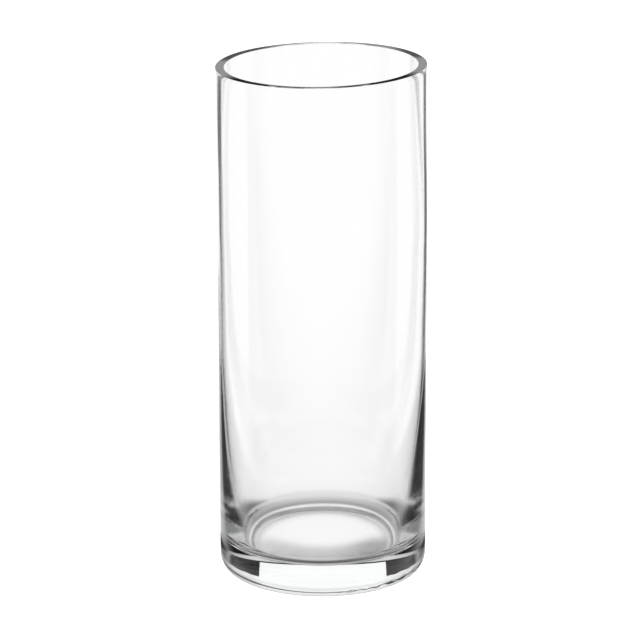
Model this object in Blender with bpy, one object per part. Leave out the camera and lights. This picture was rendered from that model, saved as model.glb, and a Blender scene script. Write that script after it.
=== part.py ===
"""A plain florist's cylinder vase in clear glass, 100 mm across and 250 mm tall.

The vase is one body of revolution about Z. Its outside is a straight cylinder. Its inside
narrows towards a heavy base, so the wall is thin at mid height and thicker at both ends.
The origin is at the centre of the circle it stands on, with +Z up towards the mouth.
"""

import math

import bmesh
import bpy

MM = 0.001

# Outside.
OUTER_RADIUS = 50.0 * MM
HEIGHT = 250.0 * MM
FOOT_CORNER_WIDTH = 6.0 * MM
FOOT_CORNER_HEIGHT = 8.5 * MM

# Rim: ground flat, with a small bevel on each edge.
RIM_WALL = 4.1 * MM
RIM_BEVEL = 0.25 * MM

# Side wall, thinnest between the two heights below.
MIDDLE_WALL = 1.7 * MM
RIM_SWELL_START = 165.0 * MM
RIM_SWELL_POWER = 1.5
FOOT_SWELL_END = 115.0 * MM
FOOT_SWELL_LENGTH = 95.0 * MM
FOOT_SWELL = 7.2 * MM

# Inside floor and the rounded corner between floor and wall.
FLOOR_HEIGHT = 14.0 * MM
FLOOR_CORNER_RADIUS = 6.8 * MM

# Underside: a shallow recess inside a flat standing ring.
RECESS_DEPTH = 1.2 * MM
RECESS_RADIUS = 37.0 * MM
RECESS_EDGE = 3.0 * MM

# Mesh fineness.
SEGMENTS = 96
FOOT_CORNER_STEPS = 6
FLOOR_CORNER_STEPS = 8
FOOT_WALL_STEPS = 8
RIM_WALL_STEPS = 5
SHARP_ANGLE = math.radians(20.0)


def wall_thickness(z):
    """Thickness of the side wall at height z."""
    rim_share = max(0.0, (z - RIM_SWELL_START) / (HEIGHT - RIM_SWELL_START))
    foot_share = max(0.0, (FOOT_SWELL_END - z) / FOOT_SWELL_LENGTH)
    rim_extra = (RIM_WALL - MIDDLE_WALL) * rim_share**RIM_SWELL_POWER
    return MIDDLE_WALL + rim_extra + FOOT_SWELL * foot_share**2


def inner_radius(z):
    return OUTER_RADIUS - wall_thickness(z)


def arc(centre, radius, start, end, steps):
    """Points of an arc in the profile's plane, both ends included. Angles in radians."""
    points = []
    for i in range(steps + 1):
        angle = start + (end - start) * i / steps
        points.append((centre[0] + radius * math.cos(angle), centre[1] + radius * math.sin(angle)))
    return points


def underside_profile():
    """From the axis out to the outer wall: recess, standing ring, rounded corner."""
    flat_end = OUTER_RADIUS - FOOT_CORNER_WIDTH
    quarter = arc((0.0, 1.0), 1.0, -math.pi / 2, 0.0, FOOT_CORNER_STEPS)
    corner = [(flat_end + r * FOOT_CORNER_WIDTH, z * FOOT_CORNER_HEIGHT) for r, z in quarter]
    recess = [
        (0.0, RECESS_DEPTH),
        (RECESS_RADIUS - RECESS_EDGE, RECESS_DEPTH),
        (RECESS_RADIUS, 0.0),
    ]
    return recess + corner


def rim_profile():
    """Across the flat ground rim, from the outer bevel to the inner one."""
    inner = inner_radius(HEIGHT)
    return [
        (OUTER_RADIUS, HEIGHT - RIM_BEVEL),
        (OUTER_RADIUS - RIM_BEVEL, HEIGHT),
        (inner + RIM_BEVEL, HEIGHT),
        (inner_radius(HEIGHT - RIM_BEVEL), HEIGHT - RIM_BEVEL),
    ]


def floor_corner():
    """The rounded corner inside, from the wall down to the floor, and the height it starts at."""
    start_height = FLOOR_HEIGHT + FLOOR_CORNER_RADIUS
    step = 0.1 * MM
    lean = math.atan((inner_radius(start_height + step) - inner_radius(start_height)) / step)
    top_height = FLOOR_HEIGHT + FLOOR_CORNER_RADIUS * (1.0 - math.sin(lean))
    centre_x = inner_radius(top_height) - FLOOR_CORNER_RADIUS * math.cos(lean)
    centre = (centre_x, start_height)
    points = arc(centre, FLOOR_CORNER_RADIUS, -lean, -math.pi / 2, FLOOR_CORNER_STEPS)
    return points, top_height


def inside_profile():
    """Down the inside, from under the rim to the axis."""
    corner, corner_top = floor_corner()
    heights = []
    for i in range(1, RIM_WALL_STEPS + 1):
        share = i / RIM_WALL_STEPS
        heights.append(HEIGHT - RIM_BEVEL + (RIM_SWELL_START - HEIGHT + RIM_BEVEL) * share)
    for i in range(FOOT_WALL_STEPS):
        share = i / FOOT_WALL_STEPS
        heights.append(FOOT_SWELL_END + (corner_top - FOOT_SWELL_END) * share)
    wall = [(inner_radius(z), z) for z in heights]
    return wall + corner + [(0.0, FLOOR_HEIGHT)]


def turned_mesh(name, profile):
    """Turns a profile that starts and ends on the axis, outer side first, about Z."""
    mesh = bmesh.new()
    rings = []
    for radius, z in profile:
        if radius == 0.0:
            rings.append([mesh.verts.new((0.0, 0.0, z))])
            continue
        ring = []
        for i in range(SEGMENTS):
            angle = 2.0 * math.pi * i / SEGMENTS
            ring.append(mesh.verts.new((radius * math.cos(angle), radius * math.sin(angle), z)))
        rings.append(ring)
    for lower, upper in zip(rings, rings[1:]):
        for i in range(SEGMENTS):
            j = (i + 1) % SEGMENTS
            if len(lower) == 1:
                mesh.faces.new((lower[0], upper[j], upper[i]))
            elif len(upper) == 1:
                mesh.faces.new((lower[i], lower[j], upper[0]))
            else:
                mesh.faces.new((lower[i], lower[j], upper[j], upper[i]))
    data = bpy.data.meshes.new(name)
    mesh.to_mesh(data)
    mesh.free()
    return data


def clear_glass():
    material = bpy.data.materials.new("clear_glass")
    material.use_nodes = True
    shader = material.node_tree.nodes["Principled BSDF"]
    shader.inputs["Base Color"].default_value = (0.86, 0.91, 0.89, 1.0)
    shader.inputs["Roughness"].default_value = 0.03
    shader.inputs["Metallic"].default_value = 0.0
    return material


def shade(vase):
    """Smooth shading, with the rim's and foot's real edges kept sharp."""
    vase.data.shade_smooth()
    vase.data.set_sharp_from_angle(angle=SHARP_ANGLE)


def build_vase():
    profile = underside_profile() + rim_profile() + inside_profile()
    vase = bpy.data.objects.new("vase_body", turned_mesh("vase_body", profile))
    vase.data.materials.append(clear_glass())
    bpy.context.scene.collection.objects.link(vase)
    shade(vase)


for leftover in list(bpy.data.objects):
    bpy.data.objects.remove(leftover, do_unlink=True)
build_vase()
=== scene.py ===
"""Looks for the glass cylinder vase: turned clear glass, lit bright-field on a white table."""

import math

import bpy
from mathutils import Matrix, Vector, noise


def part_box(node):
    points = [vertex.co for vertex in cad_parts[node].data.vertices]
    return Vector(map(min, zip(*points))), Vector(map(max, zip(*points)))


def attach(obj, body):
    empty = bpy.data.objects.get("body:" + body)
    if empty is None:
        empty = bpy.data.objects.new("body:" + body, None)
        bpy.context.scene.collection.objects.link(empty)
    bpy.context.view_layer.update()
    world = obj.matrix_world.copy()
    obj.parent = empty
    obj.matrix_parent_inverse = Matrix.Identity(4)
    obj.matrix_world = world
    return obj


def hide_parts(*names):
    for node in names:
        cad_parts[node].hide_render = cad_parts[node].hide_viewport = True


MM = 0.001

# Camera: where it stands relative to the foot of the vase, and how it is turned.
FOCAL_LENGTH_MM = 211.4
SENSOR_WIDTH_MM = 36.0
CAMERA_DISTANCE = 1729.0 * MM
CAMERA_HEIGHT = 641.0 * MM
CAMERA_PITCH = math.radians(16.63)
CAMERA_YAW = math.radians(0.032)
CAMERA_ROLL = math.radians(-0.227)
CAMERA_RANGE = 100.0

# Turned shape.  The outer radius and the height come from the CAD body.
FOOT_CORNER_WIDTH = 6.0 * MM
FOOT_CORNER_HEIGHT = 8.5 * MM
RIM_WALL = 4.1 * MM
RIM_EDGE_RADIUS = 0.1 * MM
RIM_DROP = 0.08 * MM
MIDDLE_WALL = 1.7 * MM
RIM_SWELL_LENGTH = 85.0 * MM
RIM_SWELL_POWER = 1.5
FOOT_SWELL_END = 115.0 * MM
FOOT_SWELL_LENGTH = 95.0 * MM
FOOT_SWELL = 7.2 * MM
FLOOR_HEIGHT = 14.0 * MM
FLOOR_CORNER_RADIUS = 6.8 * MM
RECESS_DEPTH = 1.2 * MM
RECESS_RADIUS = 37.0 * MM
RECESS_EDGE = 3.0 * MM

# Mesh density.
SEGMENTS = 256
CORNER_STEPS = 20
RIM_EDGE_STEPS = 6
RIM_FLAT_SHARES = (0.01, 0.5, 0.99)
OUTSIDE_STEPS = 60
FOOT_SWELL_STEPS = 130
UPPER_WALL_STEPS = 50
FLAT_STEPS = 8
SLOPE_STEP = 0.1 * MM
SHARP_ANGLE = math.radians(20.0)

# Where the unevenness applies.  Pairs are (starts, full): as shares of the radius for the wall,
# as depths behind the outer face for the inside, and as heights above the table.
WALL_SHARES = (0.6, 0.9)
INSIDE_DEPTHS = (0.5 * MM, 1.5 * MM)
ABOVE_FOOT = (10.0 * MM, 70.0 * MM)
BELOW_RIM = 50.0 * MM

# Unevenness of the wall and the rim.  Names that end in START are (starts, full), and those that
# end in END are (full, gone).
OUT_OF_ROUND = 0.35 * MM
WALL_UNEVENNESS = 0.20 * MM
WAVE_LENGTH = 60.0 * MM
RIM_TILT = 0.0145
RIM_TILT_LENGTH = 50.0 * MM
BASE_SHIFT = 0.2 * MM
BASE_SHIFT_START = (6.0 * MM, 12.0 * MM)
BASE_SHIFT_END = (30.0 * MM, 100.0 * MM)
BOW = 0.45 * MM
BOW_START = (90.0 * MM, 150.0 * MM)
BOW_END = (190.0 * MM, 240.0 * MM)

# Unevenness of the foot: a ripple all over it, and marks on one part of its edge.
FOOT_END = (2.0 * MM, 8.0 * MM)
FOOT_RIPPLE = 0.015 * MM
FOOT_RIPPLE_LENGTH = 4.0 * MM
FOOT_MARKS = 0.25 * MM
FOOT_MARKS_LENGTH = 2.5 * MM
FOOT_MARKS_START = (math.radians(270.0), math.radians(292.0))
FOOT_MARKS_END = (math.radians(335.0), math.radians(350.0))

# Glass.  The inside of the wall is slightly hazy, most of all low down.
GLASS_IOR = 1.52
GLASS_TINT = (0.30, 0.45, 0.38, 1.0)
GLASS_DENSITY = 1.2
BOUNCES = 8
HAZE_ROUGHNESS = 0.09
HAZE_RADII = (48.5 * MM, 49.5 * MM)
HAZE_BOTTOM = (12.0 * MM, 20.0 * MM)
HAZE_TOP = (35.0 * MM, 80.0 * MM)
HAZE_ABOVE = 0.1
HAZE_CLOUD_SCALE = 40.0
HAZE_CLOUD_DETAIL = 3.0
HAZE_CLOUD_GAIN = 0.6
HAZE_CLOUD_BASE = 0.7

# Surroundings.  Bearings are in degrees from straight ahead of the camera, heights in degrees
# above the horizon.  The two light curves are (bearing, brightness) for low and high directions.
DIRECT_WHITE = 1.3
LOW_LIGHT = (
    (0, 1.15),
    (27, 1.15),
    (33, 1.0),
    (50, 0.8),
    (70, 0.3),
    (95, 0.25),
    (125, 0.2),
    (160, 0.15),
)
HIGH_LIGHT = (
    (0, 0.85),
    (27, 0.85),
    (33, 1.0),
    (60, 0.7),
    (100, 0.7),
    (120, 0.8),
    (150, 0.9),
    (170, 0.5),
)
BELOW_HORIZON = (-12.0, -2.0)
HORIZON = (5.0, 9.0)
HORIZON_GAIN = 1.17
UPPER_PANEL = (12.0, 15.0)
UPPER_PANEL_GAIN = 1.2
ZENITH = (70.0, 80.0)
ZENITH_SHARE = 0.7

# The bright panel's top edge steps down beyond its sides.  A dark gap runs above it.
PANEL_SIDES = (29.0, 30.0)
PANEL_TOP = 21.3
PANEL_SHOULDER = 2.4
PANEL_BLUR = 0.3
GAP_TOP = ((55, 23.3), (65, 27.0))
GAP_BLUR = 0.2
GAP_SIDES = (55.0, 65.0)
GAP_LIGHT = 0.03

# Dark slot in the panel that shows up in the ground rim: a bar, and a shoulder on each side above.
SLOT_DARKNESS = 0.95
SLOT_BEARING = -0.37
SLOT_MOST_BOUNCES = 2.5
BAR_BOTTOM = (9.6, 10.1)
BAR_TOP = (11.6, 12.1)
BAR_SIDES = (1.3, 1.9)
SHOULDER_BOTTOM = (13.1, 13.5)
SHOULDER_TOP = (16.2, 16.7)
SHOULDER_INNER = (0.55, 0.75)
SHOULDER_INNER_SHARES = (0.15, 0.75)
SHOULDER_OUTER = (1.4, 1.8)

# Table.
TABLE_SIZE = 60.0
TABLE_GAP = 0.3 * MM

# Painted shade on the table: two dark stripes, one on each side, running away from the camera and
# apart.
# Each line is (metres aside per metre ahead, metres aside level with the vase).
STRIPE_SHADE = 0.85
LEFT_STRIPE = (0.55, 0.11)
RIGHT_STRIPE = (0.36, 0.12)
STRIPE_NEAREST = -0.1
STRIPE_LEAST_ASIDE = 0.03
STRIPE_INNER = (0.62, 0.78)
STRIPE_OUTER = (1.15, 1.35)
STRIPE_START = (-0.15, -0.05)

# Painted shade: the table is darker between the vase and the camera.
FRONT_DARKNESS = 0.55
FRONT_START = (0.02, 0.05)
FRONT_END = (0.1, 0.4)

# Contact shadow, by distance from the vase's axis.
BACK_HALF = (-20.0 * MM, 0.0)
NEAR_SHADOW = 0.5
NEAR_SHADOW_END = (48.0 * MM, 60.0 * MM)
WIDE_SHADOW = 0.22
WIDE_SHADOW_END = (55.0 * MM, 88.0 * MM)
FRONT_SHADOW = 0.7
FRONT_SHADOW_END = (45.0 * MM, 60.0 * MM)
FLANK_SHADOW = 0.9
FLANK_SIDEWAYS = (0.4, 0.7)
FLANK_START = (56.0 * MM, 64.0 * MM)
FLANK_END = (70.0 * MM, 79.0 * MM)
BACK_SHADOW_START = 44.0 * MM
FRONT_SHADOW_START = 39.0 * MM
SHADOW_START_BLUR = 3.0 * MM

# Shadow under the standing ring, and a softer crescent under the front of the floor.
RING_SHADOW = 0.85
RING_SHADOW_START = (30.0 * MM, 41.0 * MM)
RING_SHADOW_END = (41.5 * MM, 42.5 * MM)
CRESCENT_SHADOW = 0.48
CRESCENT_CENTRE = 25.5 * MM
CRESCENT_START = (25.0 * MM, 36.0 * MM)
CRESCENT_END = (32.0 * MM, 38.0 * MM)
CRESCENT_BACK = (-4.0 * MM, 12.0 * MM)
CRESCENT_ASIDE = (0.0, 30.0 * MM)
CRESCENT_ASIDE_SHARES = (0.8, 1.5)


def wall_thickness(z, height):
    """Thickness of the side wall at a height: thin in the middle, thicker to the rim and foot."""
    rim_share = max(0.0, (z - height + RIM_SWELL_LENGTH) / RIM_SWELL_LENGTH)
    foot_share = max(0.0, (FOOT_SWELL_END - z) / FOOT_SWELL_LENGTH)
    rim_extra = (RIM_WALL - MIDDLE_WALL) * rim_share**RIM_SWELL_POWER
    return MIDDLE_WALL + rim_extra + FOOT_SWELL * foot_share**2


def spread(start, end, steps):
    """Evenly spaced values after start, up to and including end."""
    return [start + (end - start) * i / steps for i in range(1, steps + 1)]


def arc(centre, radius, start, end, steps):
    """Points (r, z) on a round corner, ends included."""
    angles = [start] + spread(start, end, steps)
    return [(centre[0] + radius * math.cos(a), centre[1] + radius * math.sin(a)) for a in angles]


def underside_profile(radius):
    """From the axis outwards: shallow recess, flat foot ring, rounded foot corner."""
    flat_end = radius - FOOT_CORNER_WIDTH
    corner = arc((0.0, 1.0), 1.0, -math.pi / 2, 0.0, CORNER_STEPS)
    points = [(0.0, RECESS_DEPTH)]
    points += [(r, RECESS_DEPTH) for r in spread(0.0, RECESS_RADIUS - RECESS_EDGE, FLAT_STEPS)]
    points += [(RECESS_RADIUS, 0.0)]
    points += [(r, 0.0) for r in spread(RECESS_RADIUS, flat_end, FLAT_STEPS)[:-1]]
    points += [(flat_end + r * FOOT_CORNER_WIDTH, z * FOOT_CORNER_HEIGHT) for r, z in corner]
    return points


def rim_profile(radius, height):
    """The rim with its two small rounded edges, from outside to inside; it slopes inwards a little."""
    edge = RIM_EDGE_RADIUS
    outer_end = (radius - edge, height)
    inner_end = (radius - RIM_WALL + edge, height - RIM_DROP)
    points = arc((outer_end[0], outer_end[1] - edge), edge, 0.0, math.pi / 2, RIM_EDGE_STEPS)
    for share in RIM_FLAT_SHARES:
        points.append(tuple(a + (b - a) * share for a, b in zip(outer_end, inner_end)))
    points += arc((inner_end[0], inner_end[1] - edge), edge, math.pi / 2, math.pi, RIM_EDGE_STEPS)
    return points


def inside_profile(radius, height):
    """From the rim down the inner wall, round the floor corner, to the axis."""

    def inner_radius(z):
        return radius - wall_thickness(z, height)

    corner_height = FLOOR_HEIGHT + FLOOR_CORNER_RADIUS
    rise = inner_radius(corner_height + SLOPE_STEP) - inner_radius(corner_height)
    lean = math.atan(rise / SLOPE_STEP)
    corner_top = FLOOR_HEIGHT + FLOOR_CORNER_RADIUS * (1.0 - math.sin(lean))
    corner_centre = (inner_radius(corner_top) - FLOOR_CORNER_RADIUS * math.cos(lean), corner_height)
    heights = spread(height - RIM_EDGE_RADIUS - RIM_DROP, FOOT_SWELL_END, UPPER_WALL_STEPS)
    heights += spread(FOOT_SWELL_END, corner_top, FOOT_SWELL_STEPS)[:-1]
    points = [(inner_radius(z), z) for z in heights]
    points += arc(corner_centre, FLOOR_CORNER_RADIUS, -lean, -math.pi / 2, CORNER_STEPS)
    points += [(r, FLOOR_HEIGHT) for r in spread(corner_centre[0], 0.0, FLAT_STEPS)]
    return points


def vase_profile(radius, height):
    """The whole outline, from the middle of the underside round to the middle of the floor."""
    points = underside_profile(radius)
    outside_top = height - RIM_EDGE_RADIUS
    points += [(radius, z) for z in spread(FOOT_CORNER_HEIGHT, outside_top, OUTSIDE_STEPS)[:-1]]
    return points + rim_profile(radius, height) + inside_profile(radius, height)


def turned_mesh(name, profile, shift):
    """Turns a profile about the vertical axis; shift moves each point a little off the true shape."""
    vertices = []
    faces = []
    rings = []
    for r, z in profile:
        count = SEGMENTS if r > 0.0 else 1
        rings.append(range(len(vertices), len(vertices) + count))
        for i in range(count):
            angle = 2.0 * math.pi * i / SEGMENTS
            vertices.append(shift(r, angle, z))
    for lower, upper in zip(rings, rings[1:]):
        for i in range(SEGMENTS):
            j = (i + 1) % SEGMENTS
            corners = [lower[i % len(lower)], lower[j % len(lower)]]
            corners += [upper[j % len(upper)], upper[i % len(upper)]]
            faces.append(list(dict.fromkeys(corners)))
    mesh = bpy.data.meshes.new(name)
    mesh.from_pydata(vertices, [], faces)
    mesh.update()
    mesh.shade_smooth()
    mesh.set_sharp_from_angle(angle=SHARP_ANGLE)
    return mesh


def smooth_share(value, start, end):
    """0 before start, 1 after end, smooth between."""
    t = min(1.0, max(0.0, (value - start) / (end - start)))
    return t * t * (3.0 - 2.0 * t)


def hump(value, rise, fall):
    """Rises from 0 to 1 over the first range and falls back to 0 over the second."""
    return smooth_share(value, *rise) * (1.0 - smooth_share(value, *fall))


def wave(x, y, z, length):
    """Smooth random waves in space, about one per length."""
    return noise.noise(Vector((x, y, z)) / length)


def wall_push(radius, height, angle, z, inside):
    """How far the wall stands off the true cylinder: out of round, and uneven in thickness."""
    x, y = radius * math.cos(angle), radius * math.sin(angle)
    above_foot = smooth_share(z, *ABOVE_FOOT)
    uneven = inside * above_foot * (1.0 - smooth_share(z, height - BELOW_RIM, height))
    push = OUT_OF_ROUND * above_foot * wave(x, y, z, WAVE_LENGTH)
    return push + WALL_UNEVENNESS * uneven * wave(y, z, x, WAVE_LENGTH)


def blown_shift(radius, height):
    """The small departures from a true cylinder that hand-finished glass has."""

    def shift(r, angle, z):
        wall = smooth_share(r, WALL_SHARES[0] * radius, WALL_SHARES[1] * radius)
        inside = smooth_share(radius - r, *INSIDE_DEPTHS)
        pushed = r + wall * wall_push(radius, height, angle, z, inside)
        x = pushed * math.cos(angle) - BASE_SHIFT * inside * hump(z, BASE_SHIFT_START, BASE_SHIFT_END)
        y = pushed * math.sin(angle)
        x += BOW * hump(z, BOW_START, BOW_END)
        foot = 1.0 - smooth_share(z, *FOOT_END)
        lift = FOOT_RIPPLE * foot * wave(x, y, z, FOOT_RIPPLE_LENGTH)
        marked = foot * wall * hump(angle, FOOT_MARKS_START, FOOT_MARKS_END)
        marks = FOOT_MARKS * marked * wave(x, y, z, FOOT_MARKS_LENGTH)
        x += math.cos(angle) * marks
        y += math.sin(angle) * marks
        tilt = RIM_TILT * x * max(0.0, (z - height + RIM_TILT_LENGTH) / RIM_TILT_LENGTH)
        return (x, y, z + lift + tilt)

    return shift


class ShaderMaths:
    """Small helper that writes a shader's arithmetic as calls instead of loose nodes."""

    def __init__(self, tree):
        self.tree = tree
        tree.nodes.clear()

    def node(self, kind, values=(), **settings):
        """Adds a node, sets its properties, and fills its inputs with numbers or links."""
        node = self.tree.nodes.new("ShaderNode" + kind)
        for name, setting in settings.items():
            setattr(node, name, setting)
        for socket, value in zip(node.inputs, values):
            if isinstance(value, bpy.types.NodeSocket):
                self.tree.links.new(value, socket)
            elif value is not None:
                socket.default_value = value
        return node

    def calc(self, operation, *values):
        return self.node("Math", values, operation=operation).outputs[0]

    def dot(self, a, b):
        return self.node("VectorMath", (a, b), operation="DOT_PRODUCT").outputs["Value"]

    def step(self, value, start, end, low=0.0, high=1.0):
        """Smooth change from low to high while value goes from start to end."""
        values = (value, start, end, low, high)
        return self.node("MapRange", values, interpolation_type="SMOOTHSTEP").outputs[0]

    def fall(self, value, start, end, high=1.0):
        """Smooth change from high to 0 while value goes from start to end."""
        return self.step(value, start, end, high, 0.0)

    def band(self, value, rise, fall):
        """Rises from 0 to 1 over the first range and falls back to 0 over the second."""
        return self.times(self.step(value, *rise), self.fall(value, *fall))

    def blend(self, share, a, b):
        return self.node("Mix", (share, None, a, b), data_type="FLOAT").outputs[0]

    def times(self, *values):
        product = values[0]
        for value in values[1:]:
            product = self.calc("MULTIPLY", product, value)
        return product

    def dimmed(self, light, darkness):
        """Light with a share of it taken away."""
        return self.times(light, self.calc("SUBTRACT", 1.0, darkness))

    def line(self, value, slope, offset):
        return self.calc("MULTIPLY_ADD", value, slope, offset)

    def length(self, a, b):
        return self.calc("SQRT", self.calc("MULTIPLY_ADD", a, a, self.times(b, b)))

    def curve(self, value, points):
        """Straight-line graph through (value, result) points."""
        result = points[0][1]
        for (x0, y0), (x1, y1) in zip(points, points[1:]):
            values = (value, x0, x1, 0.0, y1 - y0)
            rise = self.node("MapRange", values).outputs[0]
            result = self.calc("ADD", result, rise)
        return result

    def camera_frame(self, vector):
        """Parts of a world vector to the camera's right and level ahead of it."""
        spaces = {"vector_type": "VECTOR", "convert_from": "CAMERA", "convert_to": "WORLD"}
        right = self.node("VectorTransform", ((1.0, 0.0, 0.0),), **spaces).outputs[0]
        turn = (right, None, None, math.pi / 2)
        ahead = self.node("VectorRotate", turn, rotation_type="Z_AXIS").outputs[0]
        return self.dot(vector, right), self.dot(vector, ahead)

    def seen_white(self, brightness):
        """What the camera sees directly is plain white; the given brightness only lights the glass."""
        camera_ray = self.node("LightPath").outputs["Is Camera Ray"]
        return self.blend(camera_ray, brightness, DIRECT_WHITE)


def haze_roughness(s):
    """Roughness of the glass: a cloudy haze low on the inside of the wall, polished elsewhere."""
    position = s.node("TexCoord").outputs["Object"]
    x, y, z = s.node("SeparateXYZ", (position,)).outputs
    inside = s.fall(s.length(x, y), *HAZE_RADII)
    hazy = s.times(inside, s.step(z, *HAZE_BOTTOM), s.step(z, *HAZE_TOP, 1.0, HAZE_ABOVE))
    settings = (position, None, HAZE_CLOUD_SCALE, HAZE_CLOUD_DETAIL)
    clouds = s.node("TexNoise", settings, noise_dimensions="3D").outputs[0]
    cloudy = s.line(clouds, HAZE_CLOUD_GAIN, HAZE_CLOUD_BASE)
    return s.times(hazy, s.times(cloudy, HAZE_ROUGHNESS))


def clear_glass():
    material = bpy.data.materials.new("clear_glass")
    material.use_nodes = True
    s = ShaderMaths(material.node_tree)
    glass = s.node("BsdfPrincipled")
    glass.inputs["Base Color"].default_value = (1.0, 1.0, 1.0, 1.0)
    glass.inputs["IOR"].default_value = GLASS_IOR
    glass.inputs["Transmission Weight"].default_value = 1.0
    s.tree.links.new(haze_roughness(s), glass.inputs["Roughness"])
    tint = s.node("VolumeAbsorption", (GLASS_TINT, GLASS_DENSITY))
    output = s.node("OutputMaterial")
    s.tree.links.new(glass.outputs[0], output.inputs["Surface"])
    s.tree.links.new(tint.outputs[0], output.inputs["Volume"])
    return material


def rim_slot(s, bearing, elevation):
    """Darkness of the slot in the panel, for rays that have met the glass no more than twice."""
    aside = s.calc("ABSOLUTE", s.calc("SUBTRACT", bearing, SLOT_BEARING))
    bar = s.times(s.band(elevation, BAR_BOTTOM, BAR_TOP), s.fall(aside, *BAR_SIDES))
    shoulder = s.times(
        s.band(elevation, SHOULDER_BOTTOM, SHOULDER_TOP),
        s.step(aside, *SHOULDER_INNER, *SHOULDER_INNER_SHARES),
        s.fall(aside, *SHOULDER_OUTER),
    )
    bounces = s.node("LightPath").outputs["Ray Depth"]
    few = s.calc("LESS_THAN", bounces, SLOT_MOST_BOUNCES)
    return s.times(s.calc("MAXIMUM", bar, shoulder), few, SLOT_DARKNESS)


def panel_and_gap(s, azimuth, elevation):
    """Bright panel low down, a thin dark gap over it, then a soft overhead light."""
    low = s.times(s.curve(azimuth, LOW_LIGHT), s.step(elevation, *UPPER_PANEL, 1.0, UPPER_PANEL_GAIN))
    low = s.times(low, s.step(elevation, *HORIZON, HORIZON_GAIN, 1.0))
    panel_top = s.step(azimuth, *PANEL_SIDES, PANEL_TOP, PANEL_TOP - PANEL_SHOULDER)
    above_panel = s.step(s.calc("SUBTRACT", elevation, panel_top), 0.0, PANEL_BLUR)
    above_gap = s.step(s.calc("SUBTRACT", elevation, s.curve(azimuth, GAP_TOP)), 0.0, GAP_BLUR)
    gap = s.blend(s.step(azimuth, *GAP_SIDES), GAP_LIGHT, low)
    light = s.blend(above_panel, low, gap)
    return s.blend(above_gap, light, s.curve(azimuth, HIGH_LIGHT))


def studio_light():
    """Surroundings by direction, turned with the camera like the set of a turntable shoot."""
    world = bpy.data.worlds.new("studio")
    world.use_nodes = True
    s = ShaderMaths(world.node_tree)
    direction = s.node("TexCoord").outputs["Generated"]
    aside, ahead = s.camera_frame(direction)
    bearing = s.calc("DEGREES", s.calc("ARCTAN2", aside, ahead))
    up = s.node("SeparateXYZ", (direction,)).outputs[2]
    elevation = s.calc("DEGREES", s.calc("ARCSINE", up))
    light = panel_and_gap(s, s.calc("ABSOLUTE", bearing), elevation)
    light = s.times(light, s.step(elevation, *ZENITH, 1.0, ZENITH_SHARE))
    light = s.times(light, s.step(elevation, *BELOW_HORIZON))
    light = s.dimmed(light, rim_slot(s, bearing, elevation))
    background = s.node("Background", (None, s.seen_white(light)))
    s.node("OutputWorld", (background.outputs[0],))
    bpy.context.scene.world = world


def painted_shade_stripes(s, aside, ahead):
    """Painted shade: darkness of the two stripes that run away from the camera, left and right."""
    reach = s.calc("MAXIMUM", ahead, STRIPE_NEAREST)
    on_right = s.calc("GREATER_THAN", aside, 0.0)
    line = s.blend(on_right, s.line(reach, *LEFT_STRIPE), s.line(reach, *RIGHT_STRIPE))
    side = s.calc("ABSOLUTE", aside)
    share = s.calc("DIVIDE", side, s.calc("MAXIMUM", line, STRIPE_LEAST_ASIDE))
    stripe = s.times(s.band(share, STRIPE_INNER, STRIPE_OUTER), s.step(ahead, *STRIPE_START))
    return s.times(stripe, STRIPE_SHADE)


def contact_shadow(s, aside, ahead, distance):
    """Darkness around the foot: soft behind, deeper in front, deepest on the two flanks behind."""
    in_back = s.step(ahead, *BACK_HALF)
    near = s.fall(distance, *NEAR_SHADOW_END, NEAR_SHADOW)
    wide = s.fall(distance, *WIDE_SHADOW_END, WIDE_SHADOW)
    front = s.fall(distance, *FRONT_SHADOW_END, FRONT_SHADOW)
    shadow = s.blend(in_back, front, s.calc("ADD", near, wide))
    sideways = s.calc("DIVIDE", s.calc("ABSOLUTE", aside), distance)
    flank = s.times(s.step(sideways, *FLANK_SIDEWAYS), s.band(distance, FLANK_START, FLANK_END))
    flank = s.times(flank, in_back, FLANK_SHADOW)
    start = s.blend(in_back, FRONT_SHADOW_START, BACK_SHADOW_START)
    outside_foot = s.step(s.calc("SUBTRACT", distance, start), 0.0, SHADOW_START_BLUR)
    return s.times(s.calc("MAXIMUM", shadow, flank), outside_foot)


def crescent_shadow(s, aside, ahead, distance):
    """Darkness of the crescent under the front of the floor, stronger to the right."""
    sweep = s.length(aside, s.calc("SUBTRACT", ahead, CRESCENT_CENTRE))
    crescent = s.times(s.step(sweep, *CRESCENT_START), s.fall(distance, *CRESCENT_END, CRESCENT_SHADOW))
    in_front = s.fall(ahead, *CRESCENT_BACK)
    return s.times(crescent, in_front, s.step(aside, *CRESCENT_ASIDE, *CRESCENT_ASIDE_SHARES))


def table_light():
    """Brightness of the glowing table: white, with the foot's soft shadows and the shade of the set's
    darker sides painted in, not cast.
    """
    material = bpy.data.materials.new("table")
    material.use_nodes = True
    s = ShaderMaths(material.node_tree)
    position = s.node("NewGeometry").outputs["Position"]
    aside, ahead = s.camera_frame(position)
    distance = s.length(aside, ahead)
    # Painted shade on the table between the vase and the camera.
    front = s.band(s.calc("MULTIPLY", ahead, -1.0), FRONT_START, FRONT_END)
    ring = s.times(s.band(distance, RING_SHADOW_START, RING_SHADOW_END), RING_SHADOW)
    # Painted shade of the set's dark sides, in two stripes.
    light = s.calc("SUBTRACT", 1.0, painted_shade_stripes(s, aside, ahead))
    light = s.dimmed(light, s.times(front, FRONT_DARKNESS))
    light = s.dimmed(light, contact_shadow(s, aside, ahead, distance))
    light = s.dimmed(light, ring)
    light = s.dimmed(light, crescent_shadow(s, aside, ahead, distance))
    # Painted light and shade: the table glows with the brightness worked out above, shadows included.
    glow = s.node("Emission", (None, s.seen_white(light)))
    s.node("OutputMaterial", (glow.outputs[0],))
    return material


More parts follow.
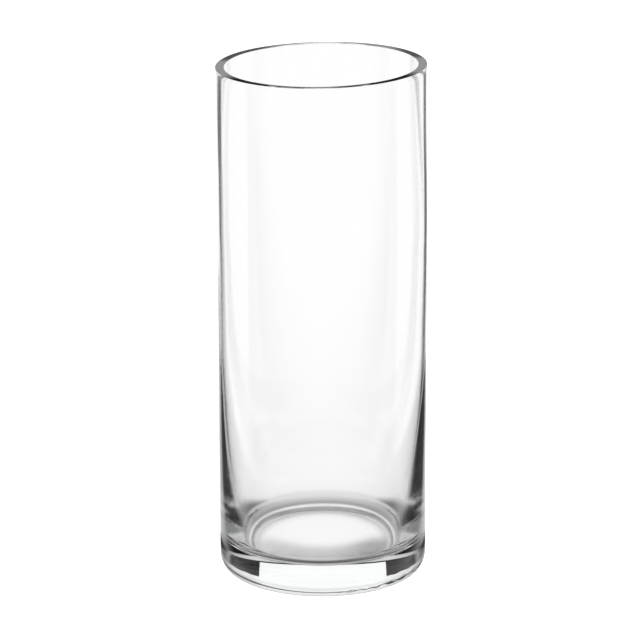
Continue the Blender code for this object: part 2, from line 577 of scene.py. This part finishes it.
def build_table():
    half = TABLE_SIZE / 2
    mesh = bpy.data.meshes.new("table")
    corners = [(-half, -half, 0.0), (half, -half, 0.0), (half, half, 0.0), (-half, half, 0.0)]
    mesh.from_pydata(corners, [], [(0, 1, 2, 3)])
    mesh.materials.append(table_light())
    table = bpy.data.objects.new("table", mesh)
    bpy.context.scene.collection.objects.link(table)
    table.location.z = -TABLE_GAP


def build_camera():
    data = bpy.data.cameras.new("camera")
    data.lens = FOCAL_LENGTH_MM
    data.sensor_width = SENSOR_WIDTH_MM
    data.clip_end = CAMERA_RANGE
    camera = bpy.data.objects.new("camera", data)
    bpy.context.scene.collection.objects.link(camera)
    camera.matrix_world = (
        Matrix.Translation((0.0, -CAMERA_DISTANCE, CAMERA_HEIGHT))
        @ Matrix.Rotation(CAMERA_YAW, 4, "Z")
        @ Matrix.Rotation(math.pi / 2 - CAMERA_PITCH, 4, "X")
        @ Matrix.Rotation(CAMERA_ROLL, 4, "Z")
    )
    bpy.context.scene.camera = camera


def build_vase():
    low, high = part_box("vase_body")
    radius = (high.x - low.x) / 2
    height = high.z
    mesh = turned_mesh("glass_vase", vase_profile(radius, height), blown_shift(radius, height))
    mesh.materials.append(clear_glass())
    vase = bpy.data.objects.new("glass_vase", mesh)
    bpy.context.scene.collection.objects.link(vase)
    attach(vase, "root")
    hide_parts("vase_body")


def set_light_paths():
    """Plain colours, and few enough bounces that light trapped in the wall dies out."""
    scene = bpy.context.scene
    scene.view_settings.view_transform = "Standard"
    scene.cycles.max_bounces = BOUNCES
    scene.cycles.transmission_bounces = BOUNCES
    scene.cycles.glossy_bounces = BOUNCES
    scene.cycles.transparent_max_bounces = BOUNCES


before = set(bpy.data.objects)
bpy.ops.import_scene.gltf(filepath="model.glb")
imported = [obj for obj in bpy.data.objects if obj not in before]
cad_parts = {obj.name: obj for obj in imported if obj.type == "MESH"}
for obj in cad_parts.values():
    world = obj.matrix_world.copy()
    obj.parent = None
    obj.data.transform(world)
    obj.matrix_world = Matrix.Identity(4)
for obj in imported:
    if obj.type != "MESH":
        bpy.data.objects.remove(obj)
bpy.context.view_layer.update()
build_vase()
build_table()
studio_light()
build_camera()
set_light_paths()
